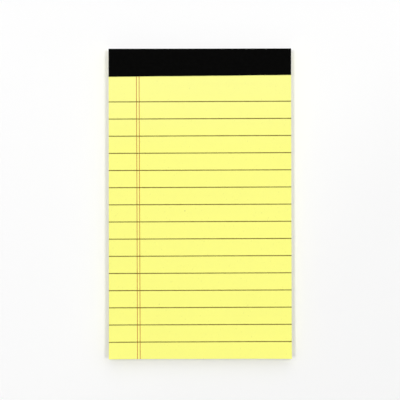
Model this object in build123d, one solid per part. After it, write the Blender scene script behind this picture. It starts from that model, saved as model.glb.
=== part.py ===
from build123d import *
import os

# A ruled memo pad: a block of leaves on a chipboard back, stapled and bound across the top
# with a strip of tape that is folded from the front, over the bound edge, to the back.
#
# The pad lies on its back. X runs across the page to the right, Y along the page towards the
# bound edge and Z up out of the page. The origin is under the middle of the pad, in the plane
# of the tape's back flap, which is the lowest face. All sizes are in millimetres.

# Leaves and board
PAGE_WIDTH = 76.0
PAGE_LENGTH = 129.0
LEAF_COUNT = 50
LEAF_THICKNESS = 0.09
BOARD_THICKNESS = 0.8

# Binding tape: the flaps are measured from the bound edge of the leaves, and the front one was
# laid a little askew, so that it is deeper at the left edge of the page than at the right
TAPE_THICKNESS = 0.15
FRONT_FLAP_LEFT = 11.6
FRONT_FLAP_RIGHT = 10.95
BACK_FLAP = 12.0
FOLD_RADIUS = 0.3

# Staples of flattened wire: the crown is pressed in level with the top leaf and the legs are
# clinched inwards, level with the back of the board, so that the tape lies flat over both
STAPLE_EDGE_INSET = 13.0
STAPLE_DROP = 5.5
CROWN_LENGTH = 12.0
CLINCH_LENGTH = 4.0
WIRE_WIDTH = 0.7
WIRE_THICKNESS = 0.5
WIRE_BEND_INNER_RADIUS = 0.35
WIRE_CLEARANCE = 0.03

# Print on the top leaf: rules across the page, and a double margin line down its left side
RULE_PITCH = 7.14
RULE_WIDTH = 0.38
FIRST_RULE_DROP = 21.95
LAST_RULE_ROOM = 3.5
MARGIN_INSET = 11.72
MARGIN_LINE_SPACING = 1.11
MARGIN_LINE_WIDTH = 0.25
MARGIN_TAPE_GAP = 0.05
INK_THICKNESS = 0.02
PRINT_SKEW_DEGREES = 0.13

# Heights of the layers, and places along the page
BOARD_BOTTOM = TAPE_THICKNESS
BOARD_TOP = BOARD_BOTTOM + BOARD_THICKNESS
PAGE_TOP = BOARD_TOP + LEAF_COUNT * LEAF_THICKNESS
TAPE_TOP = PAGE_TOP + TAPE_THICKNESS
OVERALL_LENGTH = PAGE_LENGTH + TAPE_THICKNESS
FREE_EDGE = -OVERALL_LENGTH / 2
BOUND_EDGE = FREE_EDGE + PAGE_LENGTH
SPINE_FACE = BOUND_EDGE + TAPE_THICKNESS
PAGE_MIDDLE = (FREE_EDGE + BOUND_EDGE) / 2
LEFT_EDGE = -PAGE_WIDTH / 2
RIGHT_EDGE = PAGE_WIDTH / 2

# Centre lines of the staples' wire
CROWN_HEIGHT = PAGE_TOP - WIRE_THICKNESS / 2
CLINCH_HEIGHT = BOARD_BOTTOM + WIRE_THICKNESS / 2
WIRE_BEND_RADIUS = WIRE_BEND_INNER_RADIUS + WIRE_THICKNESS / 2
STAPLE_LINE = BOUND_EDGE - STAPLE_DROP
STAPLE_OFFSET = PAGE_WIDTH / 2 - STAPLE_EDGE_INSET - CROWN_LENGTH / 2


def block_between(low, high):
    """A box given by its lowest and highest corners."""
    size = [top - bottom for bottom, top in zip(low, high)]
    return Pos(*low) * Box(*size, align=Align.MIN)


def bound_slab(bottom, top, end, fold_radius, folds):
    """A slab of the page's width, from the free edge to end, rounded where the tape folds over it."""
    slab = block_between((LEFT_EDGE, FREE_EDGE, bottom), (RIGHT_EDGE, end, top))
    spine_edges = slab.faces().sort_by(Axis.Y)[-1].edges().filter_by(Axis.X).sort_by(Axis.Z)
    return fillet([spine_edges[place] for place in folds], fold_radius)


def staple_wire(middle, growth):
    """Wire of one staple, whose crown is centred on middle, grown by growth on each side and at its ends."""
    left = middle - CROWN_LENGTH / 2
    right = middle + CROWN_LENGTH / 2
    reach = CLINCH_LENGTH + growth
    corners = [
        (left + reach, STAPLE_LINE, CLINCH_HEIGHT),
        (left, STAPLE_LINE, CLINCH_HEIGHT),
        (left, STAPLE_LINE, CROWN_HEIGHT),
        (right, STAPLE_LINE, CROWN_HEIGHT),
        (right, STAPLE_LINE, CLINCH_HEIGHT),
        (right - reach, STAPLE_LINE, CLINCH_HEIGHT),
    ]
    path = FilletPolyline(*corners, radius=WIRE_BEND_RADIUS)
    across_page = Vector(0, 1, 0)
    section_plane = Plane(origin=path @ 0, x_dir=across_page, z_dir=path % 0)
    section = section_plane * Rectangle(WIRE_WIDTH + 2 * growth, WIRE_THICKNESS + 2 * growth)
    return sweep(section, path=path)


def staple_slot(middle):
    """Room for one staple: its wire's way through, open above the crown and below the clinches."""
    half_thickness = WIRE_THICKNESS / 2 + WIRE_CLEARANCE
    half_width = WIRE_WIDTH / 2 + WIRE_CLEARANCE
    reach = CLINCH_LENGTH + WIRE_CLEARANCE
    left = middle - CROWN_LENGTH / 2
    right = middle + CROWN_LENGTH / 2
    front = STAPLE_LINE - half_width
    back = STAPLE_LINE + half_width
    crown_room = block_between(
        (left - half_thickness, front, CROWN_HEIGHT), (right + half_thickness, back, PAGE_TOP)
    )
    left_room = block_between(
        (left - half_thickness, front, BOARD_BOTTOM), (left + reach, back, CLINCH_HEIGHT)
    )
    right_room = block_between(
        (right - reach, front, BOARD_BOTTOM), (right + half_thickness, back, CLINCH_HEIGHT)
    )
    return staple_wire(middle, WIRE_CLEARANCE) + crown_room + left_room + right_room


def front_flap_outline(gap):
    """Plan of the front flap, grown by gap past its lower edge, as a face on the page's plane."""
    corners = [
        (LEFT_EDGE, BOUND_EDGE - FRONT_FLAP_LEFT - gap),
        (RIGHT_EDGE, BOUND_EDGE - FRONT_FLAP_RIGHT - gap),
        (RIGHT_EDGE, SPINE_FACE),
        (LEFT_EDGE, SPINE_FACE),
    ]
    return make_face(Polyline(*corners, close=True))


def page_block():
    """All the leaves as one block, with the holes and grooves that the staples press into it."""
    block = bound_slab(BOARD_TOP, PAGE_TOP, BOUND_EDGE, FOLD_RADIUS, [-1])
    return block - [staple_slot(middle) for middle in staple_places()]


def backing_board():
    """The chipboard sheet, with the holes and grooves of the staples' legs."""
    board = bound_slab(BOARD_BOTTOM, BOARD_TOP, BOUND_EDGE, FOLD_RADIUS, [0])
    return board - [staple_slot(middle) for middle in staple_places()]


def binding_tape():
    """The tape strip: front flap, spine and back flap, in one thickness round both folds."""
    outside = bound_slab(0, TAPE_TOP, SPINE_FACE, FOLD_RADIUS + TAPE_THICKNESS, [0, -1])
    inside = bound_slab(BOARD_BOTTOM, PAGE_TOP, BOUND_EDGE, FOLD_RADIUS, [0, -1])
    flap_split = (BOARD_BOTTOM + PAGE_TOP) / 2
    front_room = Pos(0, 0, flap_split) * extrude(front_flap_outline(0), TAPE_TOP - flap_split)
    back_room = block_between(
        (LEFT_EDGE, BOUND_EDGE - BACK_FLAP, 0), (RIGHT_EDGE, SPINE_FACE, flap_split)
    )
    return (outside - inside) & (front_room + back_room)


def staple_places():
    """Where the middles of the staples' crowns are across the page."""
    return [-STAPLE_OFFSET, STAPLE_OFFSET]


def staples():
    """Both staples, each a separate bent wire."""
    return [staple_wire(middle, 0) for middle in staple_places()]


def printed_bars(bars):
    """Ink bars, each a centre, a length along X and a length along Y, skewed with the whole print."""
    turn = Pos(0, PAGE_MIDDLE, PAGE_TOP) * Rot(0, 0, PRINT_SKEW_DEGREES)
    lift = (Align.CENTER, Align.CENTER, Align.MIN)
    return [
        turn * Pos(x, y - PAGE_MIDDLE, 0) * Box(along_x, along_y, INK_THICKNESS, align=lift)
        for x, y, along_x, along_y in bars
    ]


def rule_bars():
    """The rules before they are trimmed, as many as the page has room for below the first one."""
    room = PAGE_LENGTH - FIRST_RULE_DROP - LAST_RULE_ROOM
    count = int(room / RULE_PITCH) + 1
    places = [BOUND_EDGE - FIRST_RULE_DROP - row * RULE_PITCH for row in range(count)]
    return printed_bars([(0, y, PAGE_WIDTH + PAGE_LENGTH, RULE_WIDTH) for y in places])


def margin_bars():
    """The two margin lines before they are trimmed."""
    first = LEFT_EDGE + MARGIN_INSET
    places = [first, first + MARGIN_LINE_SPACING]
    length = PAGE_WIDTH + PAGE_LENGTH
    return printed_bars([(x, PAGE_MIDDLE, MARGIN_LINE_WIDTH, length) for x in places])


def inked_page():
    """The thin layer over the top leaf that ink can fill: the whole page clear of the tape."""
    layer = block_between(
        (LEFT_EDGE, FREE_EDGE, PAGE_TOP), (RIGHT_EDGE, BOUND_EDGE, PAGE_TOP + INK_THICKNESS)
    )
    taped = Pos(0, 0, PAGE_TOP) * extrude(front_flap_outline(MARGIN_TAPE_GAP), INK_THICKNESS)
    return layer - taped


def printed_rules():
    """The rules, from edge to edge of the page."""
    page = inked_page()
    return [bar & page for bar in rule_bars()]


def printed_margin_lines():
    """The margin lines, from the tape to the free edge, broken where the rules cross them."""
    page = inked_page()
    rules = rule_bars()
    return [solid for bar in margin_bars() for solid in ((bar & page) - rules).solids()]


def write_node(name, shape):
    """Write one node's file: a single solid, or a group of separate solids."""
    solids = shape if isinstance(shape, list) else [shape]
    whole = Compound(children=solids) if len(solids) > 1 else solids[0]
    export_step(whole, os.path.join("parts", f"{name}.step"))


os.makedirs("parts", exist_ok=True)
write_node("page_block", page_block())
write_node("backing_board", backing_board())
write_node("binding_tape", binding_tape())
write_node("staples", staples())
write_node("printed_rules", printed_rules())
write_node("printed_margin_lines", printed_margin_lines())
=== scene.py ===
"""A ruled memo pad with a folded binding tape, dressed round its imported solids.

The pad lies on its back: X runs across the page to the right, Y along the page towards the
bound edge and Z up out of the page. Sizes are in metres, in the frame of the solids.
"""

import logging
import math
import random
from dataclasses import dataclass, field
from enum import Enum

import bmesh
import bpy
from mathutils import Color, Euler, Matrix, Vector, noise


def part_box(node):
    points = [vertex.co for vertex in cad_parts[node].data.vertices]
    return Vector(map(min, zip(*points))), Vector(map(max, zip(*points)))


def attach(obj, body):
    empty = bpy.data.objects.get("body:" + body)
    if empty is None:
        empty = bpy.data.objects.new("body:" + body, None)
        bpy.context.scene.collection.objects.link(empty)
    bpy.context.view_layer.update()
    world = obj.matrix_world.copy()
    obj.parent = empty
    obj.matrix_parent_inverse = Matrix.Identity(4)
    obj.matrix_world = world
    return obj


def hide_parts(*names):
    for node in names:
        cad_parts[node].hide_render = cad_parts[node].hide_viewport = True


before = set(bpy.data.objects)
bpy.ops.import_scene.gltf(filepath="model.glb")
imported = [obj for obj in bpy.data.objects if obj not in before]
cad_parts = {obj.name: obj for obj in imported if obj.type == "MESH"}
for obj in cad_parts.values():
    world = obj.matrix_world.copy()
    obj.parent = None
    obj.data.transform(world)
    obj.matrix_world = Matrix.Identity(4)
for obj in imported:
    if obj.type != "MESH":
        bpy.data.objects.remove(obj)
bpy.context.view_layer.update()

LOG = logging.getLogger("memo_pad")
BODY = "root"
MAP_NAME = "OFBake"

# One millimetre, how close two places are to count as the same, a slice of the noise, and the
# brightest value of a screen
MM = 0.001
NEAR = 0.005 * MM
NOISE_SLICE = 0.37
SCREEN_WHITE = 255

Triple = tuple[float, float, float]
Colour = Triple
Pixel = tuple[float, float]
Grid = list[list[Vector]]
Feed = float | tuple[float, ...] | bpy.types.NodeSocket


class Node(Enum):
    """The pad's solids, by the names they are packed under."""

    PAGES = "page_block"
    BOARD = "backing_board"
    TAPE = "binding_tape"
    STAPLES = "staples"
    RULES = "printed_rules"
    MARGIN = "printed_margin_lines"

    @property
    def points(self) -> list[Vector]:
        """The corners of this solid's mesh."""
        return [vertex.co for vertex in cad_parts[self.value].data.vertices]


class Slot(Enum):
    """Names of the finishes in the pad's record."""

    PAPER = "yellow_paper"
    TAPE = "black_tape"
    RULE_INK = "rule_ink"
    MARGIN_INK = "margin_ink"


class Axis(Enum):
    """A direction in the pad's frame, by its place in a vector."""

    ACROSS = 0
    ALONG = 1
    UP = 2


def from_screen(red: float, green: float, blue: float) -> Colour:
    """A colour that a screen shows with values up to 255, in linear light from 0 to 1."""
    shown = Color((red, green, blue)) / SCREEN_WHITE
    return tuple(shown.from_srgb_to_scene_linear())


def mix(start: float, end: float, share: float) -> float:
    """The value that lies the given share of the way from start to end."""
    return start + (end - start) * share


def even_shares(steps: int) -> list[float]:
    """Shares from 0 to 1, in so many even steps."""
    return [step / steps for step in range(steps + 1)]


def ease(share: float) -> float:
    """A share clamped to 0 and 1, with a soft start and end."""
    held = min(max(share, 0.0), 1.0)
    return held * held * (3 - 2 * held)


def ripple(x: float, y: float, length: float) -> float:
    """Smooth repeatable unevenness from about -1 to 1, with bumps about one length across."""
    return noise.noise(Vector((x / length, y / length, NOISE_SLICE)))


def cut_out(piece: bpy.types.Object, form: bpy.types.Mesh) -> None:
    """Take a closed form out of a piece for good.

    Args:
        piece: The piece.
        form: The form, in the same frame.
    """
    cutter = bpy.data.objects.new(form.name, form)
    bpy.context.scene.collection.objects.link(cutter)
    cut = piece.modifiers.new(form.name, "BOOLEAN")
    cut.operation = "DIFFERENCE"
    cut.solver = "EXACT"
    cut.object = cutter
    graph = bpy.context.evaluated_depsgraph_get()
    whole = piece.data
    piece.data = bpy.data.meshes.new_from_object(piece.evaluated_get(graph))
    piece.modifiers.remove(cut)
    bpy.data.objects.remove(cutter)
    bpy.data.meshes.remove(whole)
    piece.data.name = piece.name


@dataclass(frozen=True)
class PadMeasures:
    """Edges and levels of the pad, read from its solids.

    Attributes:
        left: Left edge of the page.
        right: Right edge of the page.
        free_edge: Lower edge of the page, where leaves lift.
        bound_edge: Upper edge of the page, under the tape.
        spine_face: Outer face of the tape over the bound edge.
        board_top: Where the leaves start.
        page_top: Upper face of the top leaf.
        tape_bottom: Lower face of the tape's back flap.
        tape_top: Upper face of the tape's front flap.
        flap_left: Lower edge of the front flap, at the page's left edge.
        flap_right: Lower edge of the front flap, at the page's right edge.
        back_flap_edge: Lower edge of the back flap.
        fold_radius: Inner radius of the tape's two folds, to which the leaves are rounded.
    """

    left: float
    right: float
    free_edge: float
    bound_edge: float
    spine_face: float
    board_top: float
    page_top: float
    tape_bottom: float
    tape_top: float
    flap_left: float
    flap_right: float
    back_flap_edge: float
    fold_radius: float

    @classmethod
    def from_frame(cls) -> "PadMeasures":
        """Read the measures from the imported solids.

        Returns:
            The pad's measures.
        """
        page_low, page_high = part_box(Node.PAGES.value)
        tape_low, tape_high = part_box(Node.TAPE.value)
        flap = [point for point in Node.TAPE.points if point.z > page_high.z - NEAR]
        bound_face = [point for point in Node.PAGES.points if point.y > page_high.y - NEAR]
        return cls(
            left=page_low.x,
            right=page_high.x,
            free_edge=page_low.y,
            bound_edge=page_high.y,
            spine_face=tape_high.y,
            board_top=page_low.z,
            page_top=page_high.z,
            tape_bottom=tape_low.z,
            tape_top=tape_high.z,
            flap_left=min(point.y for point in flap if point.x < page_low.x + NEAR),
            flap_right=min(point.y for point in flap if point.x > page_high.x - NEAR),
            back_flap_edge=tape_low.y,
            fold_radius=page_high.z - max(point.z for point in bound_face),
        )

    @property
    def width(self) -> float:
        """Width of the page."""
        return self.right - self.left

    @property
    def length(self) -> float:
        """Length of the page."""
        return self.bound_edge - self.free_edge

    @property
    def block_height(self) -> float:
        """Height of all the leaves together."""
        return self.page_top - self.board_top

    @property
    def tape_thickness(self) -> float:
        """Thickness of the tape."""
        return self.tape_top - self.page_top

    def flap_edge(self, x: float) -> float:
        """Where the front flap's lower edge lies, at x across the page."""
        return mix(self.flap_left, self.flap_right, (x - self.left) / self.width)


@dataclass(frozen=True)
class PrintLayout:
    """Where the ink lies on the page, read from the printed solids.

    Attributes:
        rules: For each rule, its place along the page at the left and at the right edge.
        rule_width: Width of a rule.
        margins: Where each margin line meets the free edge.
        margin_width: Width of a margin line.
        skew: Angle of the print to the page, in radians.
    """

    rules: list[tuple[float, float]]
    rule_width: float
    margins: list[float]
    margin_width: float
    skew: float

    @classmethod
    def from_frame(cls, pad: PadMeasures) -> "PrintLayout":
        """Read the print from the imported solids.

        Args:
            pad: The pad's measures.

        Returns:
            The layout of the print.
        """
        at_left = cls.bars_at(Node.RULES, Axis.ACROSS, pad.left)
        at_right = cls.bars_at(Node.RULES, Axis.ACROSS, pad.right)
        at_foot = cls.bars_at(Node.MARGIN, Axis.ALONG, pad.free_edge)
        rules = [(start[0], end[0]) for start, end in zip(at_left, at_right)]
        first_start, first_end = rules[0]
        return cls(
            rules=rules,
            rule_width=at_left[0][1],
            margins=[place for place, _ in at_foot],
            margin_width=at_foot[0][1],
            skew=math.atan2(first_end - first_start, pad.width),
        )

    @staticmethod
    def bars_at(node: Node, edge_axis: Axis, edge: float) -> list[tuple[float, float]]:
        """Find the printed bars that end on one edge of the page.

        Args:
            node: The printed solid.
            edge_axis: The direction that the bars run in.
            edge: Place of the page's edge in that direction.

        Returns:
            The centre and width of each bar there.
        """
        run, other = edge_axis.value, 1 - edge_axis.value
        sides: list[float] = []
        for place in sorted(point[other] for point in node.points if abs(point[run] - edge) < NEAR):
            if not sides or place - sides[-1] > NEAR:
                sides.append(place)
        return [((low + high) / 2, high - low) for low, high in zip(sides[::2], sides[1::2])]

    @property
    def pitch(self) -> float:
        """Distance from one rule to the next."""
        return (self.rules[-1][0] - self.rules[0][0]) / (len(self.rules) - 1)


@dataclass(frozen=True)
class LeafLie:
    """How the leaves lie: pressed flat by the tape, and a little loose towards the free edge.

    Attributes:
        pad: The pad's measures.
        loose_rise: How much the leaves stand up at the free edge.
        wave_rise: Height of the slow waves across the loose end.
        wave_length: Length of those waves.
        wave_slant: How far they shift across the page for each step along it.
        left_curl: Lift of the top leaf's left free corner.
        right_curl: Lift of the top leaf's right free corner.
        curl_reach: How far the lift of a corner reaches into the page.
        curl_power: How steeply it grows towards the corner, as a power.
        loose_depth: How quickly the looseness dies away in the leaves below.
        curl_depth: How quickly the lift of the corners dies away there.
    """

    pad: PadMeasures
    loose_rise: float = 0.45 * MM
    wave_rise: float = 0.05 * MM
    wave_length: float = 43 * MM
    wave_slant: float = 0.5
    left_curl: float = 0.9 * MM
    right_curl: float = 0.55 * MM
    curl_reach: float = 19 * MM
    curl_power: float = 2
    loose_depth: float = 2
    curl_depth: float = 7

    def lift(self, x: float, y: float, level: float) -> float:
        """How far a leaf stands above its pressed place.

        Args:
            x: Place across the page.
            y: Place along the page.
            level: Share of the block's height at which the leaf lies.

        Returns:
            The lift.
        """
        pad = self.pad
        edge = pad.flap_edge(x)
        hang = ease((edge - y) / (edge - pad.free_edge))
        wave = math.sin(math.tau * (x + y * self.wave_slant) / self.wave_length)
        loose = hang * (self.loose_rise + self.wave_rise * wave)
        curl = 0.0
        for corner_x, rise in ((pad.left, self.left_curl), (pad.right, self.right_curl)):
            away = math.hypot(x - corner_x, y - pad.free_edge) / self.curl_reach
            curl += rise * max(0.0, 1 - away) ** self.curl_power
        return loose * level**self.loose_depth + curl * level**self.curl_depth

    def height(self, x: float, y: float, level: float) -> float:
        """Height of a leaf over the floor, at a place on the page."""
        return self.pad.board_top + level * self.pad.block_height + self.lift(x, y, level)


@dataclass(frozen=True)
class MapArea:
    """A rectangle of a piece's texture map, in shares of the map.

    Attributes:
        left: Its left side.
        bottom: Its lower side.
        right: Its right side.
        top: Its upper side.
        filled: Share of a band's height that is used, the rest being room between bands.
    """

    left: float = 0.005
    bottom: float = 0.005
    right: float = 0.98
    top: float = 0.995
    filled: float = 0.92

    @classmethod
    def beside(cls) -> "MapArea":
        """The narrow strip that the usual rectangle leaves free beside it."""
        return cls(left=0.985, right=0.995)

    def bands(self, *shares: float) -> list["MapArea"]:
        """Divide the rectangle into bands, one above the other.

        Args:
            shares: How its height is shared out among them.

        Returns:
            The bands, from the bottom up.
        """
        made = []
        low = self.bottom
        for share in shares:
            high = low + (self.top - self.bottom) * share / sum(shares)
            made.append(MapArea(self.left, low, self.right, mix(low, high, self.filled)))
            low = high
        return made


@dataclass
class MeshDraft:
    """A closed mesh in the making: patches of faces that are welded where they meet.

    Attributes:
        name: Name of the piece.
        points: The corners of all patches.
        faces: The faces, as places in points.
        map_points: The corners of the faces on the texture map, face by face.
        weld: How close corners are to be welded.
        sharp_angle: How much the surface turns at an edge that shows as sharp.
        slab_shares: How a slab's map is shared out among its face, its back and its four rims.
    """

    name: str
    points: list[Vector] = field(default_factory=list)
    faces: list[tuple[int, ...]] = field(default_factory=list)
    map_points: list[tuple[float, float]] = field(default_factory=list)
    weld: float = 0.0002 * MM
    sharp_angle: float = math.radians(35)
    slab_shares: tuple[float, ...] = (22, 7, 1, 1, 1, 1)

    def add_patch(self, rows: Grid, area: MapArea) -> None:
        """Add one patch of four-sided faces.

        Args:
            rows: The patch's corners, row by row.
            area: The part of the texture map that the patch fills.
        """
        start = len(self.points)
        across = len(rows[0])
        last_row, last_column = len(rows) - 1, across - 1
        self.points.extend(point for row in rows for point in row)
        for row in range(last_row):
            for column in range(last_column):
                corners = ((row, column), (row, column + 1), (row + 1, column + 1), (row + 1, column))
                self.faces.append(tuple(start + r * across + c for r, c in corners))
                for r, c in corners:
                    u = mix(area.left, area.right, c / last_column)
                    v = mix(area.bottom, area.top, r / last_row)
                    self.map_points.append((u, v))

    def add_slab(self, upper: Grid, lower: Grid, area: MapArea) -> None:
        """Add a closed slab between two like patches.

        Args:
            upper: The face that shows.
            lower: The face behind it, corner for corner.
            area: The part of the texture map that the slab fills.
        """
        patches = [
            upper,
            lower,
            [upper[0], lower[0]],
            [upper[-1], lower[-1]],
            [[row[0] for row in upper], [row[0] for row in lower]],
            [[row[-1] for row in upper], [row[-1] for row in lower]],
        ]
        for patch, band in zip(patches, area.bands(*self.slab_shares)):
            self.add_patch(patch, band)

    def mesh(self) -> bpy.types.Mesh:
        """Make the mesh, with its patches welded and its faces turned outwards.

        Returns:
            The mesh.
        """
        mesh = bpy.data.meshes.new(self.name)
        mesh.from_pydata(self.points, [], self.faces)
        layer = mesh.uv_layers.new(name=MAP_NAME)
        layer.uv.foreach_set("vector", [number for point in self.map_points for number in point])
        shape = bmesh.new()
        shape.from_mesh(mesh)
        bmesh.ops.remove_doubles(shape, verts=shape.verts, dist=self.weld)
        bmesh.ops.recalc_face_normals(shape, faces=shape.faces)
        shape.to_mesh(mesh)
        shape.free()
        return mesh

    def finish(
        self,
        material: bpy.types.Material,
        slot: Slot,
        stands_for: Node,
        holes: bpy.types.Mesh | None = None,
    ) -> bpy.types.Object:
        """Make the piece, and set it on the pad.

        Args:
            material: The piece's material.
            slot: The finish in the record; not used.
            stands_for: The solid that it replaces.
            holes: The form of the holes that are cut into it.

        Returns:
            The finished piece.
        """
        piece = bpy.data.objects.new(self.name, self.mesh())
        bpy.context.scene.collection.objects.link(piece)
        if holes is not None:
            cut_out(piece, holes)
        piece.data.shade_smooth()
        piece.data.set_sharp_from_angle(angle=self.sharp_angle)
        piece.data.materials.clear()
        piece.data.materials.append(material)
        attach(piece, BODY)
        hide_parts(stands_for.value)
        LOG.info("%s: %d faces in %s", piece.name, len(piece.data.polygons), material.name)
        return piece


@dataclass(frozen=True)
class StapleLayout:
    """Where the staples go through the pad, read from their solids.

    Attributes:
        crowns: Start and end of each crown across the page.
        line: Place of the crowns along the page.
        wire_width: Width of the flattened wire.
        wire_thickness: Its thickness.
        bend_radius: Inner radius of its bends.
        clearance: Room round the wire in the leaves.
        overcut: How far the form of the holes stands out of the leaves, so that it cuts cleanly.
    """

    crowns: list[tuple[float, float]]
    line: float
    wire_width: float
    wire_thickness: float = 0.5 * MM
    bend_radius: float = 0.35 * MM
    clearance: float = 0.03 * MM
    overcut: float = 0.5 * MM

    @classmethod
    def from_frame(cls) -> "StapleLayout":
        """Read the staples from their solids, one left and one right of the pad's middle.

        Returns:
            The layout of the staples.
        """
        low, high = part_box(Node.STAPLES.value)
        middle = (low.x + high.x) / 2
        places = [point.x for point in Node.STAPLES.points]
        left_end = max(x for x in places if x < middle)
        right_start = min(x for x in places if x > middle)
        return cls(
            crowns=[(low.x, left_end), (right_start, high.x)],
            line=(low.y + high.y) / 2,
            wire_width=high.y - low.y,
        )

    def holes(self, pad: PadMeasures) -> bpy.types.Mesh:
        """Make the form of the grooves and holes that the staples press into the leaves.

        Args:
            pad: The pad's measures.

        Returns:
            One bracket for each staple: its crown and both legs, with the clearance.
        """
        draft = MeshDraft("staple_holes")
        half_width = self.wire_width / 2 + self.clearance
        areas = MapArea.beside().bands(*[1] * len(self.crowns))
        for crown, area in zip(self.crowns, areas):
            sides = [
                [[Vector((x, self.line + offset, z)) for x, z in row] for row in self.bracket(pad, *crown)]
                for offset in (-half_width, half_width)
            ]
            draft.add_slab(*sides, area)
        return draft.mesh()

    def bracket(self, pad: PadMeasures, left: float, right: float) -> list[list[tuple[float, float]]]:
        """The outline of one staple's bracket, open towards the back of the pad.

        Args:
            pad: The pad's measures.
            left: Start of the crown across the page.
            right: Its end.

        Returns:
            Places across and up, along the outside and along the inside of the bracket.
        """
        wall = self.wire_thickness + self.clearance
        foot, top = pad.board_top - self.overcut, pad.page_top + self.overcut
        under = pad.page_top - wall
        turn = under - self.bend_radius
        outer_left, outer_right = left - self.clearance, right + self.clearance
        inner_left, inner_right = left + wall, right - wall
        outside = [(outer_left, foot), (outer_left, turn), (outer_left, top)]
        outside += [(outer_right, top), (outer_right, turn), (outer_right, foot)]
        inside = [(inner_left, foot), (inner_left, turn), (inner_left + self.bend_radius, under)]
        inside += [(inner_right - self.bend_radius, under), (inner_right, turn), (inner_right, foot)]
        return [outside, inside]


@dataclass(frozen=True)
class Grain:
    """Cloudy noise in a surface.

    Attributes:
        size: Size of its clouds.
        detail: How many finer layers it has.
        stretch: How much longer the clouds are in each direction.
        crispness: How strong each finer layer is, as a share of the one before.
    """

    size: float
    detail: float = 2.0
    stretch: Triple = (1.0, 1.0, 1.0)
    crispness: float = 0.55


@dataclass(frozen=True)
class Ramp:
    """An eased way from one value to another.

    Attributes:
        low: The number at which it starts.
        high: The number at which it ends.
        start: The value at its start.
        end: The value at its end.
    """

    low: float = 0.3
    high: float = 0.7
    start: float = 0.0
    end: float = 1.0


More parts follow.
